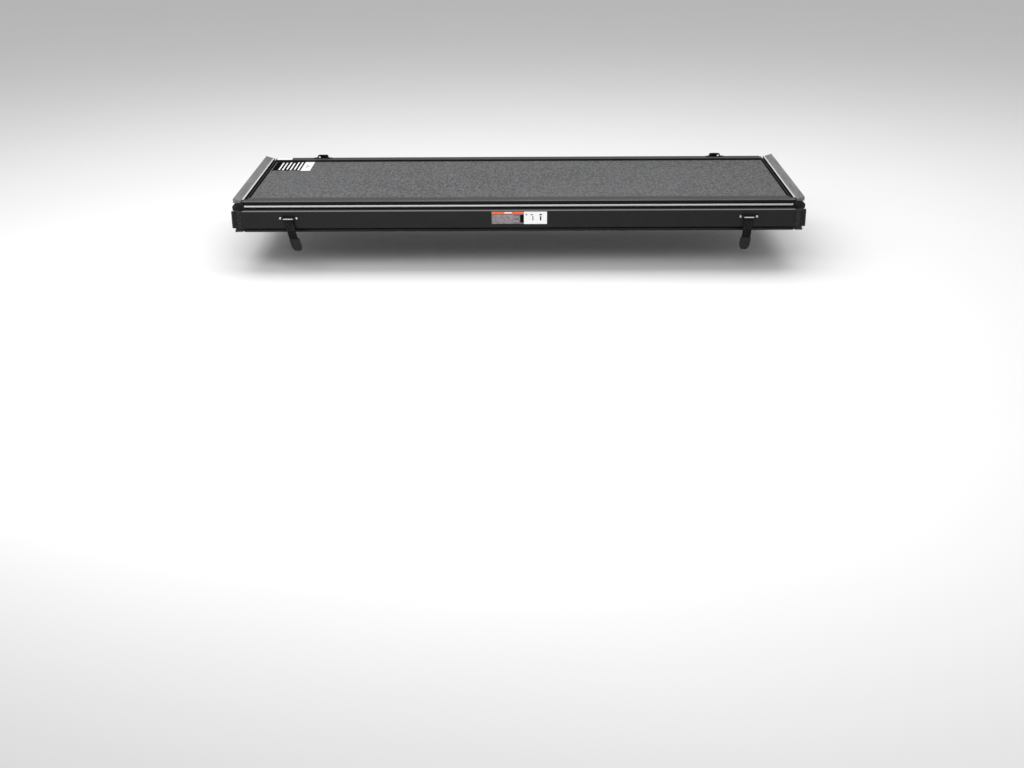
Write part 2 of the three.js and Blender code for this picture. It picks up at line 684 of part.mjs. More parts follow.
function addCabStraps(root) {
  const outboard = 27; // from the loop's bar to the middle of the hanging webbing
  const drop = 50;
  const half = 1.2;
  const over = [
    [0, -WRAP_OUTER + 0.1],
    [outboard - 4, -WRAP_OUTER + 0.1],
    [outboard - half, -WRAP_OUTER - 3],
    [outboard - half, -drop],
    [outboard + half, -drop],
    [outboard + half, -WRAP_OUTER - 1],
    [outboard - 2.6, -WRAP_OUTER + 2.6],
    [4, -WRAP_OUTER + 2.6],
    [0, WRAP_OUTER - 0.2],
  ].reverse();
  for (const [side, sign] of SIDES) {
    const group = new THREE.Group();
    group.position.set(sign * CAB_LOOP_X, CAB_LOOP_Y, STACK_HEIGHT + LOOP_BAR_HEIGHT);
    const loop = piece(group, `cab_strap_loop_${side}`, footmanLoop(), loopSteel);
    loop.position.set(0, 0, -LOOP_BAR_HEIGHT);
    piece(group, `cab_strap_${side}`, strapBody(over), blackWebbing);
    const buckle = piece(group, `cab_buckle_${side}`, halfBuckle(), bucklePlastic);
    buckle.position.set(0, outboard + 0.4, -drop + BUCKLE.socket - 1);
    root.add(group);
  }
}

// ---- front clamps ------------------------------------------------------------------------------
const CLAMP_Y = 267;
const PIVOT = { x: 762, z: -14, radius: 3 };
const ARM = { x0: 758, x1: 766, halfWidth: 9, low: -90 };
const FOOT = { x1: 797, low: -98 };
const SCREW = { x: 784, radius: 4, top: -47, collar: 7 };
const KNOB = { radius: 17, low: -116, lobes: 6 };
const JAW = { x1: 824, low: -64, high: -54, padStart: 799, padTop: -44 };

function clampBracket() {
  const plate = box(738, 786, CLAMP_Y - 15.4, CLAMP_Y + 15.4, -3.6, -GAP);
  const ear = [
    [PIVOT.x - 10, -3],
    ...arc(PIVOT.x, PIVOT.z, 7.5, 180, 360, 8),
    [PIVOT.x + 10, -3],
  ];
  const ears = [-1, 1].map((side) => {
    return alongY(ear, ...ascending(CLAMP_Y + side * 10, CLAMP_Y + side * 13));
  });
  const bore = cylinder("y", CLAMP_Y - 30, CLAMP_Y + 30, PIVOT.x, PIVOT.z, PIVOT.radius + 0.4, 16);
  return cut(join([plate, ...ears]), [bore]);
}

function clampArm() {
  const y = [CLAMP_Y - ARM.halfWidth, CLAMP_Y + ARM.halfWidth];
  const eye = cylinder("y", ...y, PIVOT.x, PIVOT.z, 6.5, 16);
  const bar = box(ARM.x0, ARM.x1, ...y, ARM.low - 1, PIVOT.z);
  const trunnion = cylinder("y", CLAMP_Y - 14.6, CLAMP_Y + 14.6, PIVOT.x, PIVOT.z, PIVOT.radius, 16);
  const foot = box(ARM.x0, FOOT.x1, ...y, FOOT.low, ARM.low);
  const gussetOutline = [
    [ARM.x1 - 1, ARM.low - 1],
    [ARM.x1 + 6, ARM.low - 1],
    [ARM.x1 - 1, ARM.low + 9],
  ];
  const gusset = alongY(gussetOutline, ...y);
  const bore = cylinder("z", FOOT.low - 5, ARM.low + 5, SCREW.x, CLAMP_Y, SCREW.radius + 0.4, 20);
  return cut(join([eye, bar, trunnion, foot, gusset]), [bore]);
}

function clampKnob() {
  const rod = cylinder("z", KNOB.low + 4, SCREW.top, SCREW.x, CLAMP_Y, SCREW.radius, 16);
  const collar = cylinder("z", ARM.low + GAP, ARM.low + 3.4, SCREW.x, CLAMP_Y, SCREW.collar, 16);
  const hub = cylinder("z", KNOB.low, FOOT.low - GAP, SCREW.x, CLAMP_Y, KNOB.radius - 3, 24);
  const lobes = Array.from({ length: KNOB.lobes }, (_, i) => {
    const angle = (2 * Math.PI * i) / KNOB.lobes;
    const x = SCREW.x + (KNOB.radius - 5) * Math.cos(angle);
    const y = CLAMP_Y + (KNOB.radius - 5) * Math.sin(angle);
    return cylinder("z", KNOB.low + 1.5, FOOT.low - 2, x, y, 5, 12);
  });
  return join([rod, collar, hub, ...lobes]);
}

function clampJaw() {
  const start = ARM.x1 + 0.4;
  const outline = [
    [start, JAW.low],
    [JAW.padStart + 4, JAW.low],
    [JAW.x1, JAW.high - 4],
    [JAW.x1, JAW.padTop],
    [JAW.padStart, JAW.padTop],
    [JAW.padStart, JAW.high],
    [start, JAW.high],
  ];
  const block = alongY(outline, CLAMP_Y - 11, CLAMP_Y + 11);
  const bore = cylinder("z", JAW.low - 5, JAW.high + 5, SCREW.x, CLAMP_Y, SCREW.radius + 0.4, 20);
  return cut(block, [bore]);
}

function addClamps(root) {
  pair(root, "clamp_bracket", clampBracket(), loopSteel);
  pair(root, "clamp_arm", clampArm(), castAlloy);
  pair(root, "clamp_jaw", clampJaw(), castAlloy);
  pair(root, "clamp_knob", clampKnob(), bucklePlastic);
}

function addTailPin(root) {
  const reach = TAIL_HINGE_HALF;
  const z = STACK_HEIGHT - HINGE_HEIGHT;
  piece(root, "tail_hinge_pin", cylinder("x", -reach, reach, TAIL_AXIS_Y, z, PIN_RADIUS, 12), brightSteel);
}

// ---- assembly ----------------------------------------------------------------------------------
const tonneauCover = new THREE.Group();
addFrontPanel(tonneauCover);
addLink(tonneauCover);
addMiddlePanel(tonneauCover);
addTailPanel(tonneauCover);
addTailPin(tonneauCover);
addRearStraps(tonneauCover);
addCabStraps(tonneauCover);
addClamps(tonneauCover);

export default tonneauCover;
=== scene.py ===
"""The looks of a folded hard tonneau cover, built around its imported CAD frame.

Metres, +Y to the cab, +Z up.
"""

import json
import math

import bmesh
import bpy
from mathutils import Matrix, Vector, noise


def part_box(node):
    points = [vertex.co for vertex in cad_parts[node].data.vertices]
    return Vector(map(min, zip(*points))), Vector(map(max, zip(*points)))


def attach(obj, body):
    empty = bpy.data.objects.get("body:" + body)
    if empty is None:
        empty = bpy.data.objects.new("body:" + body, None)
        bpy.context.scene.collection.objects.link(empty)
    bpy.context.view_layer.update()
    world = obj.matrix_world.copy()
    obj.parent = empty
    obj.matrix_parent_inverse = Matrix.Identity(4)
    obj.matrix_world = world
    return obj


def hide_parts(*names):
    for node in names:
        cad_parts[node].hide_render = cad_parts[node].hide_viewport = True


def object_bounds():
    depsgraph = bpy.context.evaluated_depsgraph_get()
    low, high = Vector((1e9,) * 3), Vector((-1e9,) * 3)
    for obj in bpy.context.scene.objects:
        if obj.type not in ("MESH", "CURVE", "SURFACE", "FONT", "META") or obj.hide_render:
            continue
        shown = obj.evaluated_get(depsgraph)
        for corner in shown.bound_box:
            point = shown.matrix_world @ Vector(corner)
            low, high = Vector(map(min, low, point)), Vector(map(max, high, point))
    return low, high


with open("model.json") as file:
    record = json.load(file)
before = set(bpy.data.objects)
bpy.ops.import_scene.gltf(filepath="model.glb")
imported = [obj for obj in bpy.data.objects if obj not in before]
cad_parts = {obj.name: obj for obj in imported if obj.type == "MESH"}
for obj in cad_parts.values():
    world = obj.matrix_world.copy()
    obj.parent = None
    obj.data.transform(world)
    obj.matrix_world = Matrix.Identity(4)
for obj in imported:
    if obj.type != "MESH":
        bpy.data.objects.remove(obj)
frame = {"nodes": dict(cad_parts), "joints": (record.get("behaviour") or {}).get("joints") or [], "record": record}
cad_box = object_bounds()

MM = 0.001
BODY_OF = {n: b for b, members in frame["record"]["behaviour"]["bodies"].items() for n in members}
SLOT_OF = {s["node"]: s["material_slot"] for s in frame["record"]["subparts"]}
JOINT = {j["name"]: j for j in frame["joints"]}
SIDES = (("left", -1), ("right", 1))

# ---- camera -------------------------------------------------------------------------------------
CAMERA_PLACE = (0.011, -4.109, 1.09)
CAMERA_PITCH = math.radians(22.43)
CAMERA_YAW = math.radians(0.49)
CAMERA_ROLL = math.radians(0.37)
CAMERA_LENS = 47.07


def add_camera():
    data = bpy.data.cameras.new("camera")
    data.lens = CAMERA_LENS
    data.sensor_width = 36
    camera = bpy.data.objects.new("camera", data)
    bpy.context.scene.collection.objects.link(camera)
    aim = Matrix.Rotation(CAMERA_YAW, 4, "Z") @ Matrix.Rotation(math.pi / 2 - CAMERA_PITCH, 4, "X")
    roll = Matrix.Rotation(-CAMERA_ROLL, 4, "Z")
    camera.matrix_world = Matrix.Translation(CAMERA_PLACE) @ aim @ roll
    bpy.context.scene.camera = camera


# ---- materials ----------------------------------------------------------------------------------
class Finish:
    """A Principled material and short ways to add the nodes that it needs."""

    def __init__(self, name, color, roughness, metallic=0.0, specular=0.5, sheen=0.0):
        self.material = bpy.data.materials.new(name)
        self.material.use_nodes = True
        self.tree = self.material.node_tree
        self.shader = self.tree.nodes["Principled BSDF"]
        self.shader.inputs["Base Color"].default_value = (*color, 1)
        self.shader.inputs["Roughness"].default_value = roughness
        self.shader.inputs["Metallic"].default_value = metallic
        self.shader.inputs["Specular IOR Level"].default_value = specular
        self.shader.inputs["Sheen Weight"].default_value = sheen
        self.place = self.add("ShaderNodeTexCoord")

    def add(self, kind, **settings):
        node = self.tree.nodes.new(kind)
        for key, value in settings.items():
            setattr(node, key, value)
        return node

    def link(self, source, target):
        self.tree.links.new(source, target)

    def coordinates(self, stretch=(1, 1, 1), source="Object"):
        mapping = self.add("ShaderNodeMapping")
        mapping.inputs["Scale"].default_value = stretch
        self.link(self.place.outputs[source], mapping.inputs["Vector"])
        return mapping.outputs["Vector"]

    def noise(self, scale, detail=3.0, stretch=(1, 1, 1), source="Object"):
        """Cloudy noise whose features are about 1 / scale metres across."""
        node = self.add("ShaderNodeTexNoise")
        node.inputs["Scale"].default_value = scale
        node.inputs["Detail"].default_value = detail
        self.link(self.coordinates(stretch, source), node.inputs["Vector"])
        return node.outputs["Fac"]

    def cells(self, scale, stretch=(1, 1, 1)):
        node = self.add("ShaderNodeTexVoronoi")
        node.inputs["Scale"].default_value = scale
        self.link(self.coordinates(stretch), node.inputs["Vector"])
        return node.outputs["Distance"]

    def wave(self, scale, direction, source="UV"):
        node = self.add("ShaderNodeTexWave", bands_direction=direction)
        node.inputs["Scale"].default_value = scale
        self.link(self.place.outputs[source], node.inputs["Vector"])
        return node.outputs["Fac"]

    def remap(self, value, low, high, from_low=0.3, from_high=0.7):
        node = self.add("ShaderNodeMapRange")
        node.inputs["From Min"].default_value = from_low
        node.inputs["From Max"].default_value = from_high
        node.inputs["To Min"].default_value = low
        node.inputs["To Max"].default_value = high
        self.link(value, node.inputs["Value"])
        return node.outputs["Result"]

    def math(self, operation, a, b):
        node = self.add("ShaderNodeMath", operation=operation)
        for socket, value in zip(node.inputs, (a, b)):
            if isinstance(value, (int, float)):
                socket.default_value = value
            else:
                self.link(value, socket)
        return node.outputs["Value"]

    def blend(self, factor, a, b):
        node = self.add("ShaderNodeMix", data_type="RGBA")
        colors = [socket for socket in node.inputs if socket.type == "RGBA"]
        for socket, value in zip(colors, (a, b)):
            if isinstance(value, tuple):
                socket.default_value = (*value, 1)
            else:
                self.link(value, socket)
        self.link(factor, node.inputs["Factor"])
        return next(out for out in node.outputs if out.type == "RGBA")

    def color(self, value):
        self.link(value, self.shader.inputs["Base Color"])

    def roughness(self, value):
        self.link(value, self.shader.inputs["Roughness"])

    def bump(self, *layers):
        """Each layer is (height, strength, distance in metres)."""
        normal = None
        for height, strength, distance in layers:
            node = self.add("ShaderNodeBump")
            node.inputs["Strength"].default_value = strength
            node.inputs["Distance"].default_value = distance
            self.link(height, node.inputs["Height"])
            if normal is not None:
                self.link(normal, node.inputs["Normal"])
            normal = node.outputs["Normal"]
        self.link(normal, self.shader.inputs["Normal"])


def shade(color, factor):
    return tuple(min(1.0, c * factor) for c in color)


def board_skin():
    """Pebbled composite skin: fine grains, a mottled tone and faint scuffs."""
    base = (0.101, 0.1015, 0.104)
    finish = Finish("board_skin", base, 0.8, specular=0.12)
    grains = finish.noise(420, 4)
    mottle = finish.noise(140, 4, stretch=(1, 0.45, 1))
    clouds = finish.noise(3.5, 3)
    speckled = finish.blend(finish.remap(grains, 0, 1, 0.38, 0.62), shade(base, 0.5), shade(base, 1.95))
    mottled = finish.blend(finish.remap(mottle, 0, 0.85, 0.36, 0.64), speckled, shade(base, 0.56))
    finish.color(finish.blend(finish.remap(clouds, 0, 0.25, 0.35, 0.65), mottled, shade(base, 1.25)))
    finish.roughness(finish.remap(mottle, 0.68, 0.9))
    finish.bump((grains, 0.5, 0.0006), (mottle, 0.3, 0.0009))
    return finish.material


def coated_rail():
    """Satin powder coat on an extrusion: orange peel, and faint lines from the die along its length."""
    base = (0.0085, 0.0078, 0.008)
    finish = Finish("coated_rail", base, 0.44, specular=0.2)
    peel = finish.noise(900, 2)
    drawn = finish.noise(40, 2, stretch=(0.02, 18, 18))
    dust = finish.noise(24, 4)
    finish.color(finish.blend(finish.remap(dust, 0, 0.5, 0.45, 0.75), base, shade(base, 1.9)))
    finish.roughness(finish.remap(dust, 0.36, 0.5))
    finish.bump((peel, 0.12, 0.0002), (drawn, 0.1, 0.0002))
    return finish.material


def coated_flange():
    """The matte underside flange of a cross rail, scuffed where the panels rub."""
    base = (0.046, 0.0463, 0.0475)
    finish = Finish("coated_flange", base, 0.62, specular=0.15)
    scuffs = finish.noise(14, 4, stretch=(0.4, 3, 3))
    grain = finish.noise(800, 2)
    finish.color(finish.blend(finish.remap(scuffs, 0, 0.6, 0.45, 0.7), base, shade(base, 1.5)))
    finish.roughness(finish.remap(scuffs, 0.5, 0.7))
    finish.bump((grain, 0.2, 0.0002))
    return finish.material


def painted_sheen_edge():
    """The rims of the hinge link and the lips of the cross rails: a light grey painted as the sheen and highlights
    they catch, mottled by scuffs.
    """
    base = (0.17, 0.17, 0.172)
    finish = Finish("painted_sheen_edge", base, 0.5, specular=0.4)
    scuffs = finish.noise(18, 4, stretch=(0.4, 3, 3))
    finish.color(finish.blend(finish.remap(scuffs, 0, 0.7), base, shade(base, 0.65)))
    finish.roughness(finish.remap(scuffs, 0.42, 0.6))
    finish.bump((finish.noise(700, 2), 0.15, 0.0002))
    return finish.material


def painted_highlight_edge(name, value, metallic, along):
    """Metal painted pale as a highlight of the light it catches, with fine lines from the die along an extrusion.
    """
    base = (value, value, value * 1.01)
    finish = Finish(name, base, 0.38, metallic=metallic)
    drawn = finish.noise(60, 3, stretch=along)
    finish.color(finish.blend(finish.remap(drawn, 0, 0.6), base, shade(base, 0.82)))
    finish.roughness(finish.remap(drawn, 0.34, 0.48))
    finish.bump((drawn, 0.1, 0.0001))
    return finish.material


def moulded_cap():
    """Black moulded plastic with a leathery texture."""
    base = (0.008, 0.008, 0.0084)
    finish = Finish("moulded_cap", base, 0.55, specular=0.22)
    pebbles = finish.cells(420)
    tone = finish.noise(300, 3)
    finish.color(finish.blend(finish.remap(tone, 0, 1, 0.42, 0.66), shade(base, 0.6), shade(base, 4.0)))
    finish.roughness(finish.remap(tone, 0.48, 0.66))
    finish.bump((pebbles, 0.35, 0.0004), (tone, 0.1, 0.0005))
    return finish.material


def seal_rubber(name, value):
    """EPDM with a grey bloom, darker where it has been handled."""
    base = (value, value * 1.01, value * 1.025)
    finish = Finish(name, base, 0.62, specular=0.3, sheen=0.1)
    bloom = finish.noise(30, 5, stretch=(2, 0.35, 1))
    grain = finish.noise(1100, 2)
    finish.color(finish.blend(finish.remap(bloom, 0, 0.85, 0.35, 0.65), base, shade(base, 0.6)))
    finish.roughness(finish.remap(bloom, 0.52, 0.74))
    finish.bump((grain, 0.3, 0.0002), (bloom, 0.2, 0.0005))
    return finish.material


def webbing():
    """Black polyester webbing. U runs across it and V along it, both in metres."""
    base = (0.005, 0.005, 0.0052)
    finish = Finish("webbing", base, 0.85, specular=0.15, sheen=0.06)
    finish.shader.inputs["Sheen Roughness"].default_value = 0.4
    picks = finish.wave(150, "Y")
    ends = finish.wave(95, "X")
    weave = finish.math("MULTIPLY", picks, ends)
    fuzz = finish.noise(700, 3, source="UV")
    # the raised threads of the weave are painted lighter, as painted highlights
    finish.color(finish.blend(weave, shade(base, 0.5), shade(base, 2.6)))
    finish.roughness(finish.remap(fuzz, 0.75, 0.95))
    finish.bump((weave, 0.8, 0.0004), (fuzz, 0.3, 0.0002))
    return finish.material


def stitching():
    base = (0.016, 0.016, 0.0165)
    finish = Finish("stitching", base, 0.6, sheen=0.15)
    twist = finish.noise(2600, 2)
    finish.color(finish.blend(finish.remap(twist, 0, 1), base, shade(base, 2.0)))
    finish.bump((twist, 0.4, 0.0001))
    return finish.material


def buckle_plastic():
    """Injection-moulded acetal: fine spark texture with a slight gloss."""
    base = (0.004, 0.004, 0.0042)
    finish = Finish("buckle_plastic", base, 0.42, specular=0.25)
    spark = finish.noise(1500, 2)
    tone = finish.noise(60, 3)
    finish.color(finish.blend(finish.remap(tone, 0, 0.6), base, shade(base, 2.0)))
    finish.roughness(finish.remap(tone, 0.3, 0.46))
    finish.bump((spark, 0.25, 0.0002))
    return finish.material


def black_steel():
    """Black zinc on pressed steel, worn a little on its high spots."""
    base = (0.025, 0.025, 0.027)
    finish = Finish("black_steel", base, 0.35, metallic=0.85)
    wear = finish.noise(300, 4)
    finish.color(finish.blend(finish.remap(wear, 0, 1, 0.58, 0.72), base, (0.3, 0.3, 0.31)))
    finish.roughness(finish.remap(wear, 0.28, 0.5))
    finish.bump((wear, 0.15, 0.0002))
    return finish.material


def bright_steel():
    """Zinc plate: pale, finely brushed, slightly cloudy."""
    base = (0.62, 0.63, 0.65)
    finish = Finish("bright_steel", base, 0.3, metallic=1.0)
    cloud = finish.noise(220, 4)
    finish.color(finish.blend(finish.remap(cloud, 0, 0.6), base, shade(base, 0.6)))
    finish.roughness(finish.remap(cloud, 0.22, 0.42))
    finish.bump((cloud, 0.1, 0.0001))
    return finish.material


def cast_alloy():
    """Bead-blasted aluminium casting."""
    base = (0.4, 0.405, 0.415)
    finish = Finish("cast_alloy", base, 0.5, metallic=0.9)
    sand = finish.noise(1300, 3)
    tone = finish.noise(60, 3)
    finish.color(finish.blend(finish.remap(tone, 0, 0.6), base, shade(base, 0.7)))
    finish.roughness(finish.remap(tone, 0.42, 0.6))
    finish.bump((sand, 0.4, 0.0003))
    return finish.material


def printed(name, color, roughness=0.45, specular=0.4, mottled=0.86):
    """Ink on a film, with a slight mottle."""
    finish = Finish(name, color, roughness, specular=specular)
    mottle = finish.noise(160, 3)
    finish.color(finish.blend(finish.remap(mottle, 0, 1), color, shade(color, mottled)))
    finish.roughness(finish.remap(mottle, roughness - 0.06, roughness + 0.08))
    finish.bump((finish.noise(30, 2), 0.05, 0.0003))
    return finish.material


MATERIALS = {
    "board_skin": board_skin(),
    "black_rail": coated_rail(),
    "flange": coated_flange(),
    # light grey for rims and lips, as painted sheen and highlight
    "painted_sheen_edge": painted_sheen_edge(),
    # pale colour on the side rails' foot flange, as a painted highlight
    "foot_flange_highlight": painted_highlight_edge("foot_flange_highlight", 0.62, 0.3, (20, 0.05, 20)),
    # pale colour on the cross rails' bead, as a painted highlight
    "bead": painted_highlight_edge("bead", 0.62, 0.15, (0.05, 20, 20)),
    "moulded_cap": moulded_cap(),
    "seal_rubber": seal_rubber("seal_rubber", 0.18),
    # a dark copy of the seal rubber, as painted shade for seals that lie in shadow
    "seal_painted_shade": seal_rubber("seal_painted_shade", 0.03),
    # near-black with no specular, as painted shade on groove floors
    "groove_painted_shade": printed("groove_painted_shade", (0.003, 0.003, 0.003), 0.8, 0.0),
    "webbing": webbing(),
    "stitching": stitching(),
    "buckle_plastic": buckle_plastic(),
    "black_steel": black_steel(),
    "bright_steel": bright_steel(),
    "cast_alloy": cast_alloy(),
    "label_white": printed("label_white", (0.86, 0.86, 0.85)),
    "label_black": printed("label_black", (0.006, 0.006, 0.0063), 0.7, 0.0),
    "label_orange": printed("label_orange", (0.85, 0.13, 0.05)),
    "label_grey": printed("label_grey", (0.2, 0.17, 0.18), mottled=0.5),
    "label_pale": printed("label_pale", (0.42, 0.37, 0.38), mottled=0.6),
}


# ---- mesh helpers -------------------------------------------------------------------------------
def new_object(name, bm, materials):
    mesh = bpy.data.meshes.new(name)
    bm.to_mesh(mesh)
    bm.free()
    obj = bpy.data.objects.new(name, mesh)
    bpy.context.scene.collection.objects.link(obj)
    for material in materials:
        mesh.materials.append(MATERIALS[material])
    return obj


def finish_mesh(obj, sharp_degrees=50):
    """Smooth shading that keeps flat faces flat, with every modifier applied."""
    obj.data.polygons.foreach_set("use_smooth", [True] * len(obj.data.polygons))
    obj.data.set_sharp_from_angle(angle=math.radians(sharp_degrees))
    weighted = obj.modifiers.new("weighted", "WEIGHTED_NORMAL")
    weighted.keep_sharp = True
    graph = bpy.context.evaluated_depsgraph_get()
    final = bpy.data.meshes.new_from_object(obj.evaluated_get(graph))
    obj.modifiers.clear()
    obj.data = final
    return obj


def round_edges(bm, width, segments, sharp_degrees=28):
    sharp = [e for e in bm.edges if e.is_manifold and e.calc_face_angle() > math.radians(sharp_degrees)]
    bmesh.ops.bevel(
        bm,
        geom=sharp,
        offset=width,
        offset_type="OFFSET",
        segments=segments,
        profile=0.5,
        affect="EDGES",
        clamp_overlap=True,
    )


def merged_mesh(node):
    """A CAD node's mesh as whole flat faces, without the triangles' diagonals."""
    bm = bmesh.new()
    bm.from_mesh(frame["nodes"][node].data)
    bmesh.ops.remove_doubles(bm, verts=bm.verts, dist=2e-6)
    bmesh.ops.dissolve_limit(bm, angle_limit=0.01, verts=bm.verts, edges=bm.edges)
    return bm


def refined(node, width=0.5 * MM, segments=2, extra=(), zone=None, main=None):
    """The CAD node's shape with rounded edges. zone(face) gives a face's material, 0 for the main one."""
    bm = merged_mesh(node)
    if zone:
        for face in bm.faces:
            face.material_index = zone(face)
    round_edges(bm, width, segments)
    obj = new_object(f"{node}.shape", bm, [main or SLOT_OF[node], *extra])
    finish_mesh(obj)
    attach(obj, BODY_OF[node])
    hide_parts(node)
    return obj


def piece(name, bm, materials, body, sharp_degrees=50):
    obj = finish_mesh(new_object(name, bm, materials), sharp_degrees)
    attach(obj, body)
    return obj


# ---- screws and boxes ---------------------------------------------------------------------------
SCREW_RADIUS = 3.7 * MM
SCREW_RISE = 2.1 * MM
SCREW_SIDES = 24
RECESS_ARM, RECESS_WAIST = 1.0, 0.38  # reach of the cross recess along its arms and between them


def turned_to(direction):
    """The rotation that takes +Z to a direction."""
    return Vector(direction).to_track_quat("Z", "Y").to_matrix().to_4x4()


def lathe(bm, profile, sides, matrix, shape=None, shaped=()):
    """A closed body of rings (r, z), with r = 0 at both ends.

    shape(i) scales the rings numbered in shaped.
    """
    rings = []
    for number, (r, z) in enumerate(profile):
        if r == 0:
            rings.append([bm.verts.new(matrix @ Vector((0, 0, z)))])
            continue
        ring = []
        for i in range(sides):
            angle = 2 * math.pi * i / sides
            reach = r * shape(i) if number in shaped else r
            place = Vector((reach * math.cos(angle), reach * math.sin(angle), z))
            ring.append(bm.verts.new(matrix @ place))
        rings.append(ring)
    for a, b in zip(rings, rings[1:]):
        for i in range(sides):
            j = (i + 1) % sides
            corners = [a[i % len(a)], a[j % len(a)], b[j % len(b)], b[i % len(b)]]
            bm.faces.new(list(dict.fromkeys(corners)))


def cross_recess(i):
    return RECESS_ARM if i % (SCREW_SIDES // 4) in (0, 1, SCREW_SIDES // 4 - 1) else RECESS_WAIST


def add_screw(bm, place, direction):
    """A pan head with a cross recess, standing on a face."""
    r, h = SCREW_RADIUS, SCREW_RISE
    sink = h - 1.1 * MM
    profile = [
        (0, -0.3 * MM),
        (r * 0.97, -0.3 * MM),
        (r, 0.4 * MM),
        (r * 0.93, h * 0.62),
        (r * 0.78, h * 0.9),
        (r * 0.6, h),
        (r * 0.55, h),
        (r * 0.5, sink),
        (0, sink),
    ]
    at = Matrix.Translation(place) @ turned_to(direction)
    lathe(bm, profile, SCREW_SIDES, at, cross_recess, (6, 7))


def rounded_box(bm, low, high, radius, segments=2, matrix=None, material=0):
    """A box with rounded edges and corners."""
    part = bmesh.new()
    low, high = Vector(low), Vector(high)
    bmesh.ops.create_cube(part, size=1)
    bmesh.ops.scale(part, verts=part.verts, vec=high - low)
    bmesh.ops.bevel(
        part,
        geom=part.edges[:],
        offset=radius,
        offset_type="OFFSET",
        segments=segments,
        profile=0.5,
        affect="EDGES",
        clamp_overlap=True,
    )
    bmesh.ops.translate(part, verts=part.verts, vec=(low + high) / 2)
    if matrix:
        bmesh.ops.transform(part, matrix=matrix, verts=part.verts)
    for face in part.faces:
        face.material_index = material
    mesh = bpy.data.meshes.new("part")
    part.to_mesh(mesh)
    part.free()
    bm.from_mesh(mesh)
    bpy.data.meshes.remove(mesh)


# ---- panels -------------------------------------------------------------------------------------
PANELS = {"front": 1, "middle": -1, "tail": 1}  # the way each panel's top faces
RAIL_FOOT = (0.806, 0.8145)  # across: the foot flange of a side rail
FLANGE_TOLERANCE = 0.2 * MM
BEAD_HEIGHTS = (14.7 * MM, 21.7 * MM)  # of a cross rail's bead, above the panel's underside
BEAD_DEPTHS = (-2.9 * MM, 1 * MM)  # out from the rail's outer face
LIP_HIGHLIGHT_HEIGHT = 2.5 * MM  # height of the lip, from the underside


def underside(panel):
    low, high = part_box(f"{panel}_rail_left")
    return low.z if PANELS[panel] > 0 else high.z


def side_rail_zone(panel):
    """Material 1 on the foot flange, which is painted pale as a highlight of the light it catches."""
    level = underside(panel)

    def zone(face):
        middle = face.calc_center_median()
        on_level = abs(middle.z - level) < FLANGE_TOLERANCE
        return 1 if on_level and RAIL_FOOT[0] < abs(middle.x) < RAIL_FOOT[1] else 0

    return zone


def cross_rail_zone(panel, face_y, outward):
    """Material 1 on the underside flange, 2 on the bead of the outer face, which is painted pale as a highlight, 3
    on its lip, painted light grey as an edge highlight.
    """
    level = underside(panel)
    up = PANELS[panel]

    def zone(face):
        middle = face.calc_center_median()
        if abs(middle.z - level) < FLANGE_TOLERANCE and abs(face.normal.z) > 0.9:
            return 1
        height = (middle.z - level) * up
        out = (middle.y - face_y) * outward
        if abs(face.normal.x) > 0.1:
            return 0
        # the bead takes a pale colour, as a painted highlight
        if BEAD_HEIGHTS[0] < height < BEAD_HEIGHTS[1] and BEAD_DEPTHS[0] < out < BEAD_DEPTHS[1]:
            return 2
        # the lip takes a light grey, as a painted edge highlight
        return 3 if 0 < height < LIP_HIGHLIGHT_HEIGHT and abs(out) < FLANGE_TOLERANCE else 0

    return zone


def add_panels():
    extra = ("flange", "bead", "painted_sheen_edge")
    for panel in PANELS:
        refined(f"{panel}_panel_board", 0.3 * MM, 1)
        for side, _ in SIDES:
            refined(f"{panel}_rail_{side}", extra=("foot_flange_highlight",), zone=side_rail_zone(panel))
            refined(f"{panel}_rail_cap_{side}", 0.8 * MM, 3)
    front_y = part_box("front_rail_cap_left")[0].y
    cab_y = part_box("front_rail_left")[1].y
    tail_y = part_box("middle_rail_left")[1].y
    rear_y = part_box("tail_rail_cap_left")[0].y
    for node, face_y, outward in (
        ("front_rail_hinge", front_y, -1),
        ("front_rail_bulkhead", cab_y, 1),
        ("middle_rail_link", front_y, -1),
        ("middle_rail_tail", tail_y, 1),
        ("tail_rail_hinge", tail_y, 1),
        ("tail_rail_rear", rear_y, -1),
    ):
        panel = node.split("_")[0]
        refined(node, extra=extra, zone=cross_rail_zone(panel, face_y, outward))


def add_seals():
    """The middle panel's seals take the grey, bloomed rubber; the others take a dark copy of it, as painted shade
    for the shadow they lie in.
    """
    for panel in PANELS:
        # seals other than the middle panel's take the dark copy, as painted shade
        main = "seal_rubber" if panel == "middle" else "seal_painted_shade"
        for side, _ in SIDES:
            refined(f"{panel}_seal_{side}", 0.25 * MM, 2, main=main)
    refined("bulkhead_seal", 0.4 * MM, 2, main="seal_painted_shade")
    refined("tailgate_seal", 0.4 * MM, 2, main="seal_painted_shade")


def add_link():
    # the link rail's top and bottom faces take a light grey, as painted sheen
    def rim(face):
        return 1 if abs(face.normal.z) > 0.9 else 0

    refined("hinge_link_rail", 0.6 * MM, 2, extra=("painted_sheen_edge",), zone=rim)
    face_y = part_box("link_end_cap_left")[0].y

    # the floors of the end caps' grooves take near-black, as painted shade
    def groove(face):
        sunk = face.calc_center_median().y - face_y
        return 1 if face.normal.y < -0.9 and 0.5 * MM < sunk < 2 * MM else 0

    for side, _ in SIDES:
        refined(f"link_end_cap_{side}", 0.3 * MM, 2, extra=("groove_painted_shade",), zone=groove)


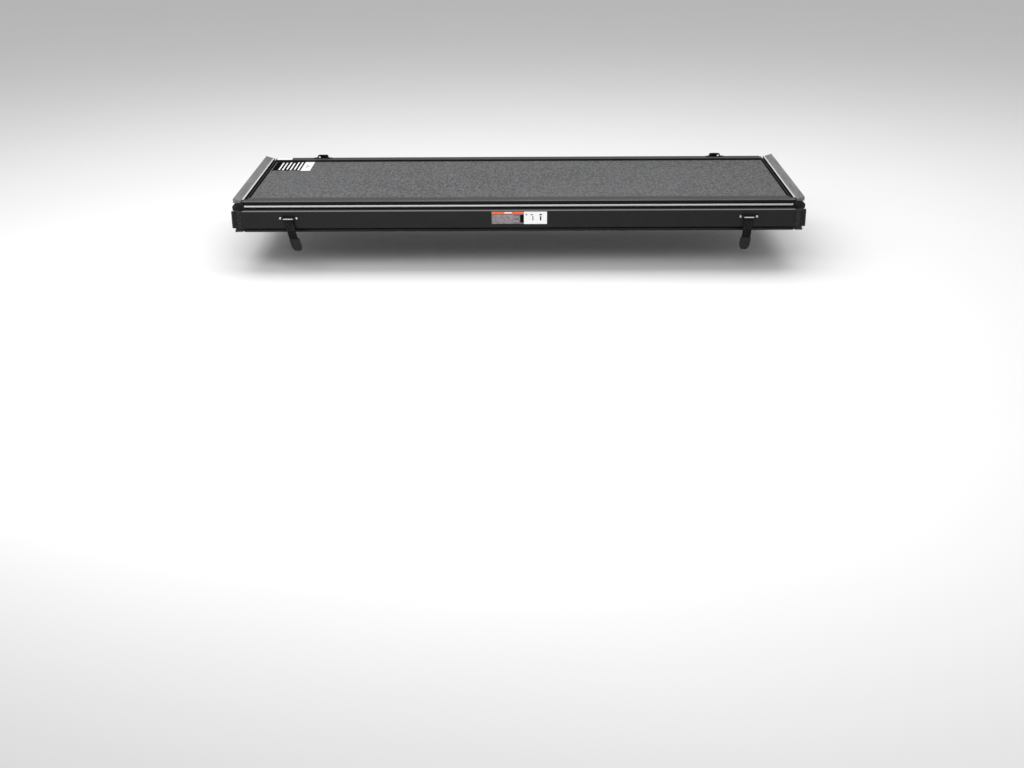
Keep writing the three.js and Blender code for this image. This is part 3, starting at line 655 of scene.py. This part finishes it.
# ---- webbing ------------------------------------------------------------------------------------
WEBBING_HALF = 12.6 * MM
PLY = 1.2 * MM
WRAP = 2.75  # mm, from the axis of a loop's bar to the middle of the ply round it
STITCH = 2.6 * MM
STITCH_PITCH = 3.6 * MM
THREAD = 0.45 * MM
KEEPER = ((-13.9, -4.8, -1.5), (13.9, -3.1, 1.5))  # mm: the bright band that nips the webbing on its bar
INTO_BUCKLE = 5.5  # mm of webbing inside a buckle's socket
LEAN_START = -6 * MM  # a strap hangs straight down to here, and then leans


def smooth_path(points, step=1.2 * MM):
    """Catmull-Rom through points in mm, resampled at an even step."""
    points = [Vector(p) * MM for p in points]
    dense = []
    ends = [points[0], *points, points[-1]]
    steps = 24
    for p0, p1, p2, p3 in zip(ends, ends[1:], ends[2:], ends[3:]):
        for k in range(steps):
            t = k / steps
            square = (2 * p0 - 5 * p1 + 4 * p2 - p3) * t**2
            cube = (3 * p1 - p0 - 3 * p2 + p3) * t**3
            dense.append((2 * p1 + (p2 - p0) * t + square + cube) / 2)
    dense.append(points[-1])
    path, travelled = [dense[0]], 0.0
    for a, b in zip(dense, dense[1:]):
        travelled += (b - a).length
        if travelled >= step:
            path.append(b)
            travelled = 0.0
    return path


def ribbon(path, origin, lean, ripple=0.15 * MM):
    """Webbing along a (y, z) path about an origin. lean(z) moves it sideways. UVs are in metres."""
    bm = bmesh.new()
    uv_layer = bm.loops.layers.uv.verify()
    across = [i / 5 - 1 for i in range(11)]
    section = [(a, 1) for a in across] + [(a, -1) for a in reversed(across)]
    rings, lengths, travelled = [], [], 0.0
    for i, point in enumerate(path):
        before, after = path[max(0, i - 1)], path[min(len(path) - 1, i + 1)]
        along = (after - before).normalized()
        normal = Vector((along.y, -along.x))
        if i:
            travelled += (point - path[i - 1]).length
        lengths.append(travelled)
        ring = []
        for a, side in section:
            half = PLY / 2 * (1 if abs(a) < 0.9 else 0.55)
            wave = ripple * noise.noise(Vector((a * 2, travelled * 60, origin.x)))
            place = point + normal * (side * half + wave)
            sideways = a * WEBBING_HALF + lean(point.y)
            ring.append(bm.verts.new(origin + Vector((sideways, place.x, place.y))))
        rings.append(ring)
    count = len(section)
    for k, (a, b) in enumerate(zip(rings, rings[1:])):
        for i in range(count):
            j = (i + 1) % count
            face = bm.faces.new((a[i], a[j], b[j], b[i]))
            for loop, (n, v) in zip(face.loops, ((i, k), (j, k), (j, k + 1), (i, k + 1))):
                loop[uv_layer].uv = (section[n][0] * WEBBING_HALF, lengths[v])
    bm.faces.new(list(reversed(rings[0])))
    bm.faces.new(rings[-1])
    bmesh.ops.recalc_face_normals(bm, faces=bm.faces)
    return bm


def add_stitches(bm, start, end):
    """A row of thread between two places on a ply, each stitch sunk at its ends."""
    count = max(1, round((end - start).length / STITCH_PITCH))
    along = (end - start).normalized()
    profile = [(0, 0), (0.7, 0.15), (1, 0.5), (0.7, 0.85), (0, 1)]
    rings = [(r * THREAD, z * STITCH) for r, z in profile]
    for i in range(count):
        middle = start + (end - start) * ((i + 0.5) / count)
        lathe(bm, rings, 6, Matrix.Translation(middle - along * STITCH / 2) @ turned_to(along))


def box_stitch(name, body, origin, lean, y, top, bottom):
    """A sewn box with a cross in it, on a ply that hangs at a distance y from the bar."""
    bm = bmesh.new()
    reach = WEBBING_HALF - 3 * MM
    a, b, c, d = (
        origin + Vector((side * reach + lean(z), y, z))
        for side, z in ((-1, top), (1, top), (1, bottom), (-1, bottom))
    )
    for start, end in ((a, b), (b, c), (c, d), (d, a), (a, c), (b, d)):
        add_stitches(bm, start, end)
    piece(name, bm, ["stitching"], body)


def hinge_place(name):
    return Vector(JOINT[name]["pos_m"])


def round_bar(*angles):
    """Points of the ply round a loop's bar, in mm, at angles in radians."""
    return [(WRAP * math.cos(a), WRAP * math.sin(a)) for a in angles]


def add_rear_straps():
    """Two plies that hang from the bar, folded over it, and run into the buckle."""
    for side, _ in SIDES:
        body = f"rear_strap_{side}"
        bar = hinge_place(f"rear_strap_swing_{side}")
        low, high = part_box(f"rear_buckle_{side}")
        middle = (low + high) / 2 - bar
        slope = middle.x / (LEAN_START - middle.z)

        def lean(z, slope=slope):
            return slope * max(0, LEAN_START - z)

        end = (high.z - bar.z) / MM - INTO_BUCKLE
        back = [(-0.3, -44), (-0.3, -26), (-0.2, -11), (1.6, -4.2)]
        wrap = round_bar(-0.35, 0.5, 1.2, 1.9, 2.6, 3.4)
        front = [(-2.1, -4.6), (-1.65, -11), (-1.65, -26), (-1.6, end)]
        path = smooth_path(back + wrap + front)
        strap = piece(f"{body}.webbing", ribbon(path, bar, lean), ["webbing"], body)
        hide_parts(body)
        box_stitch(f"{body}.stitches", body, bar, lean, -2.3 * MM, -14 * MM, -33 * MM)
        bm = bmesh.new()
        low, high = (bar + Vector(c) * MM for c in KEEPER)
        rounded_box(bm, low, high, 0.5 * MM, 3)
        piece(f"{body}.keeper", bm, ["bright_steel"], body)
        add_buckle(f"rear_buckle_{side}", body, slope)


def add_cab_straps():
    """Two plies that run from the bar over the rail's edge and hang down behind it."""
    for side, _ in SIDES:
        body = f"cab_strap_{side}"
        bar = hinge_place(f"cab_strap_swing_{side}")
        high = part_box(f"cab_buckle_{side}")[1]
        end = (high.z - bar.z) / MM - INTO_BUCKLE
        under = [(20, -3.25), (12, -3.2), (5, -3.0)]
        wrap = round_bar(4.4, 3.6, 2.8, 2.0, 1.2, 0.4)
        over = [(5, -1.6), (12, -1.9), (20, -1.9), (24.6, -2.9), (27.2, -6.6)]
        down = [(27.6, -14), (27.6, -30), (27.6, end)]
        path = smooth_path(under + wrap + over + down)
        strap = piece(f"{body}.webbing", ribbon(path, bar, lambda z: 0), ["webbing"], body)
        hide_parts(body)
        box_stitch(f"{body}.stitches", body, bar, lambda z: 0, 28.3 * MM, -16 * MM, -32 * MM)
        add_buckle(f"cab_buckle_{side}", body, 0)


def add_buckle(node, body, slope):
    """The CAD half buckle with soft edges, and grip ridges across both faces."""
    refined(node, 1.3 * MM, 3)
    low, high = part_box(node)
    middle = (low + high) / 2
    bm = bmesh.new()
    for k in range(3):
        z = low.z + (17 + 2.6 * k) * MM
        x = middle.x - slope * (z - middle.z)
        for face_y, out in ((low.y, -1), (high.y, 1)):
            y0, y1 = sorted((face_y - out * 0.5 * MM, face_y + out * 0.45 * MM))
            rounded_box(bm, (x - 9 * MM, y0, z - 0.7 * MM), (x + 9 * MM, y1, z + 0.7 * MM), 0.4 * MM)
    piece(f"{node}.ridges", bm, ["buckle_plastic"], body)


# ---- loops --------------------------------------------------------------------------------------
SCREW_FROM_BAR = 23.7 * MM
BAR_FROM_FOOT = 6.5 * MM
LOOPS = (("rear", Vector((0, -1, 0)), "link"), ("cab", Vector((0, 0, 1)), "middle_panel"))


def add_loops():
    """Footman loops with their screws."""
    for where, out, body in LOOPS:
        for side, _ in SIDES:
            node = f"{where}_strap_loop_{side}"
            refined(node, 0.7 * MM, 3)
            bar = hinge_place(f"{where}_strap_swing_{side}")
            foot = bar - out * BAR_FROM_FOOT
            bm = bmesh.new()
            for end in (-1, 1):
                add_screw(bm, foot + Vector((end * SCREW_FROM_BAR, 0, 0)), out)
            piece(f"{node}.screws", bm, ["bright_steel"], body)


# ---- clamps -------------------------------------------------------------------------------------
THREAD_PITCH = 2 * MM
THREAD_DEPTH = 0.45 * MM
THREAD_SIDES = 20
THREAD_STEPS = 6  # rings in a turn


def add_thread(bm, centre, low, high, radius):
    """A screw thread along Z, whose last turn fades into each end."""
    count = round((high - low) / THREAD_PITCH * THREAD_STEPS)
    rings = []
    for k in range(count + 1):
        z = low + (high - low) * k / count
        fade = min(1, k / THREAD_STEPS, (count - k) / THREAD_STEPS)
        ring = []
        for i in range(THREAD_SIDES):
            turn = i / THREAD_SIDES
            phase = (z / THREAD_PITCH - turn) % 1
            r = radius - THREAD_DEPTH * (1 - fade * (1 - abs(2 * phase - 1)))
            angle = 2 * math.pi * turn
            ring.append(bm.verts.new((centre.x + r * math.cos(angle), centre.y + r * math.sin(angle), z)))
        rings.append(ring)
    for a, b in zip(rings, rings[1:]):
        for i in range(THREAD_SIDES):
            j = (i + 1) % THREAD_SIDES
            bm.faces.new((a[i], a[j], b[j], b[i]))
    bm.faces.new(list(reversed(rings[0])))
    bm.faces.new(rings[-1])


def add_knob(side):
    """A six-lobed moulded knob on its screw, in place of the plain CAD one."""
    node = f"clamp_knob_{side}"
    low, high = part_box(node)
    centre = (low + high) / 2
    arm_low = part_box(f"clamp_arm_{side}")[0].z
    top = arm_low - 0.3 * MM - low.z
    lobes, sides, depth = 6, 96, 0.09
    radius = (high.x - low.x) / 2 / (1 + depth)

    def shape(i):
        return 1 + depth * math.cos(lobes * 2 * math.pi * i / sides)

    profile = [
        (0, 3 * MM),
        (radius * 0.42, 3 * MM),
        (radius * 0.5, 2.6 * MM),
        (radius * 0.66, 0.6 * MM),
        (radius * 0.78, 0),
        (radius * 0.9, 0.5 * MM),
        (radius * 0.98, 2 * MM),
        (radius, 4 * MM),
        (radius, top - 5 * MM),
        (radius * 0.97, top - 3 * MM),
        (radius * 0.8, top - 1.6 * MM),
        (radius * 0.6, top - 1.2 * MM),
        (radius * 0.52, top),
        (0, top),
    ]
    bm = bmesh.new()
    at = Matrix.Translation((centre.x, centre.y, low.z))
    lathe(bm, profile, sides, at, shape, range(3, 11))
    knob = piece(f"{node}.grip", bm, ["buckle_plastic"], node, 60)
    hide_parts(node)
    bm = bmesh.new()
    add_thread(bm, centre, arm_low - 2 * MM, high.z, 4 * MM)
    piece(f"{node}.thread", bm, ["bright_steel"], node, 80)
    arm_foot = arm_low + 8 * MM
    bm = bmesh.new()
    collar = [
        (0, 0),
        (6.7 * MM, 0),
        (7 * MM, 0.3 * MM),
        (7 * MM, 2.7 * MM),
        (6.6 * MM, 3.1 * MM),
        (0, 3.1 * MM),
    ]
    lathe(bm, collar, 32, Matrix.Translation((centre.x, centre.y, arm_foot + 0.3 * MM)))
    piece(f"{node}.collar", bm, ["bright_steel"], node)


def add_clamps():
    for side, _ in SIDES:
        refined(f"clamp_bracket_{side}", 0.6 * MM, 2)
        refined(f"clamp_arm_{side}", 1.4 * MM, 3)
        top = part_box(f"clamp_jaw_{side}")[1].z

        def pad(face, top=top):
            return 1 if abs(face.calc_center_median().z - top) < FLANGE_TOLERANCE else 0

        refined(f"clamp_jaw_{side}", 1.0 * MM, 3, extra=("seal_rubber",), zone=pad)
        add_knob(side)
        low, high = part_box(f"clamp_bracket_{side}")
        plate_low = high.z - 3.3 * MM
        bm = bmesh.new()
        for x in (low.x + 6.5 * MM, high.x - 6.5 * MM):
            add_screw(bm, (x, (low.y + high.y) / 2, plate_low), (0, 0, -1))
        piece(f"clamp_bracket_{side}.screws", bm, ["bright_steel"], "front_panel")


# ---- latches ------------------------------------------------------------------------------------
CABLE_CLIPS = (-520, -330, -150, 150, 330, 520)
CLIP_HALF = 5 * MM


def add_latches():
    refined("latch_cable", 0.3 * MM, 2)
    refined("latch_handle", 1.2 * MM, 3)
    refined("tail_hinge_pin", 0.3 * MM, 2)
    for side, _ in SIDES:
        node = f"latch_housing_{side}"
        refined(node, 1.2 * MM, 3)
        refined(f"latch_bolt_{side}", 0.5 * MM, 2)
        low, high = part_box(node)
        bm = bmesh.new()
        for x in (low.x + 6.5 * MM, high.x - 6.5 * MM):
            for y in (low.y + 5.5 * MM, high.y - 5.5 * MM):
                add_screw(bm, (x, y, low.z + 1.1 * MM), (0, 0, -1))
        piece(f"{node}.screws", bm, ["bright_steel"], "tail_panel")
    low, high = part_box("latch_cable")
    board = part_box("tail_panel_board")[0].z
    y = (low.y + high.y) / 2
    bm = bmesh.new()
    for x in CABLE_CLIPS:
        x0, x1 = x * MM - CLIP_HALF, x * MM + CLIP_HALF
        saddle_low = (x0, low.y - 1.2 * MM, low.z - 0.9 * MM)
        saddle_high = (x1, high.y + 1.2 * MM, board + 0.2 * MM)
        rounded_box(bm, saddle_low, saddle_high, 0.8 * MM)
        rounded_box(bm, (x0, high.y, board - 1.6 * MM), (x1, high.y + 9 * MM, board + 0.2 * MM), 0.6 * MM)
        add_screw(bm, (x * MM, high.y + 5 * MM, board - 1.6 * MM), (0, 0, -1))
    piece("latch_cable.clips", bm, ["moulded_cap"], "tail_panel")


# ---- labels -------------------------------------------------------------------------------------
# Places and sizes on a label are in mm.
FILM = 0.18 * MM
FILM_SOFT = 0.06 * MM  # rounding of a film's edges
INK_RISE = 1.6  # times the film's thickness
STRIPE_FIRST, STRIPE_PITCH, STRIPE_WIDTH = -773, 12.4, 5.2
STRIPE_LOW, STRIPE_LENGTH = 125, 110
RULES = 7
RULE_START, RULE_LENGTH = -75, 77
RULE_LOW, RULE_PITCH, RULE_WIDTH = 35, 3.8, 1.5
# Where each stripe starts and ends, as shares of its length.
STRIPES = ((0.04, 0.96), (0, 0.94), (0.1, 1), (0, 0.9), (0.05, 1), (0, 1))


def film(bm, x, y, z, material):
    """A thin slab, in mm, of one colour of a label."""
    low, high = (Vector(c) * MM for c in zip(sorted(x), sorted(y), sorted(z)))
    rounded_box(bm, low, high, FILM_SOFT, 1, material=material)


def add_board_labels():
    """A striped sticker on the middle board, and a small blank one on the rail beside it."""
    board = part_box("middle_panel_board")[1].z / MM
    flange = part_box("middle_rail_tail")[1].z / MM
    thin = FILM / MM
    bm = bmesh.new()
    base = (board - thin / 2, board + thin)
    ink = (board, board + thin * INK_RISE)
    film(bm, (-792, -700), (121, 238), base, 0)
    film(bm, (-700, -669), (117, 238), base, 1)
    for i, (start, end) in enumerate(STRIPES):
        x = STRIPE_FIRST + i * STRIPE_PITCH
        y = (STRIPE_LOW + STRIPE_LENGTH * start, STRIPE_LOW + STRIPE_LENGTH * end)
        film(bm, (x, x + STRIPE_WIDTH), y, ink, 1)
    for ring in range(3):
        film(bm, (-688 + ring * 4, -686 + ring * 4), (155 + ring * 8, 195 - ring * 6), ink, 2)
    film(bm, (-796, -746.5), (246, 273), (flange - thin / 2, flange + thin), 1)
    piece("board_label", bm, ["label_black", "label_white", "label_grey"], "middle_panel")


def add_link_label():
    """A sticker with a plain header, rules and simple marks, and no lettering."""
    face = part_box("hinge_link_rail")[0].y / MM
    thin = FILM / MM
    bm = bmesh.new()
    base = (face - thin, face + thin / 2)
    ink = (face - thin * INK_RISE, face)
    for x, z, material, depth in (
        ((-77.5, 16.5), (62.5, 69.5), 0, base),
        ((-77.5, 16.5), (33, 62), 1, base),
        ((16.5, 83.5), (32.5, 69.5), 2, base),
        ((-40, -19), (64.4, 67.8), 2, ink),
        ((5.5, 16), (37, 60), 3, ink),
        ((63, 67), (43, 56), 3, ink),
        ((61, 69), (58.5, 62), 3, ink),
        ((35, 43), (59, 61.6), 1, ink),
        ((41, 44), (43, 57), 1, ink),
        ((21, 26), (59, 62), 3, ink),
    ):
        low = Vector((x[0], depth[0], z[0])) * MM
        high = Vector((x[1], depth[1], z[1])) * MM
        rounded_box(bm, low, high, FILM_SOFT, 1, material=material)
    for row in range(RULES):
        z = RULE_LOW + row * RULE_PITCH
        reach = 1 if row % 3 else 0.8
        low = Vector((RULE_START, ink[0], z)) * MM
        high = Vector((RULE_START + RULE_LENGTH * reach, ink[1], z + RULE_WIDTH)) * MM
        rounded_box(bm, low, high, FILM_SOFT, 1, material=4)
    materials = ["label_orange", "label_grey", "label_white", "label_black", "label_pale"]
    piece("link_label", bm, materials, "link")


# ---- assembly -----------------------------------------------------------------------------------
add_camera()
add_panels()
add_seals()
add_link()
add_loops()
add_rear_straps()
add_cab_straps()
add_clamps()
add_latches()
add_board_labels()
add_link_label()


# ---- stage --------------------------------------------------------------------------------------
FLOOR_DROP = 1 * MM
FLOOR_HALF = 14
FLOOR_COLOR = (0.82, 0.82, 0.82)
FLOOR_SHADE = (0.79, 0.79, 0.79)


def add_floor():
    bm = bmesh.new()
    bmesh.ops.create_grid(bm, x_segments=2, y_segments=2, size=FLOOR_HALF)
    bmesh.ops.translate(bm, verts=bm.verts, vec=(0, 0, cad_box[0][2] - FLOOR_DROP))
    finish = Finish("floor", FLOOR_COLOR, 0.7, specular=0.2)
    clouds = finish.remap(finish.noise(2, 2), 0, 0.3)
    finish.color(finish.blend(clouds, FLOOR_COLOR, FLOOR_SHADE))
    MATERIALS["floor"] = finish.material
    floor = new_object("floor", bm, ["floor"])


def add_area_light(name, place, target, size, power):
    data = bpy.data.lights.new(name, "AREA")
    data.shape = "RECTANGLE"
    data.size = size[0]
    data.size_y = size[1]
    data.energy = power
    light = bpy.data.objects.new(name, data)
    bpy.context.scene.collection.objects.link(light)
    direction = Vector(target) - Vector(place)
    turn = direction.to_track_quat("-Z", "Y").to_matrix().to_4x4()
    light.matrix_world = Matrix.Translation(place) @ turn


def add_lights():
    world = bpy.data.worlds.new("studio")
    world.use_nodes = True
    background = world.node_tree.nodes["Background"]
    background.inputs["Color"].default_value = (1, 1, 1, 1)
    background.inputs["Strength"].default_value = 0.55
    bpy.context.scene.world = world
    add_area_light("overhead", (0, 0.2, 2.6), (0, 0, 0), (4.5, 2.4), 72)
    add_area_light("key", (-0.6, -1.7, 1.35), (0, -0.3, 0.05), (2.6, 0.7), 24)


add_floor()
add_lights()
bpy.context.scene.view_settings.view_transform = "Standard"
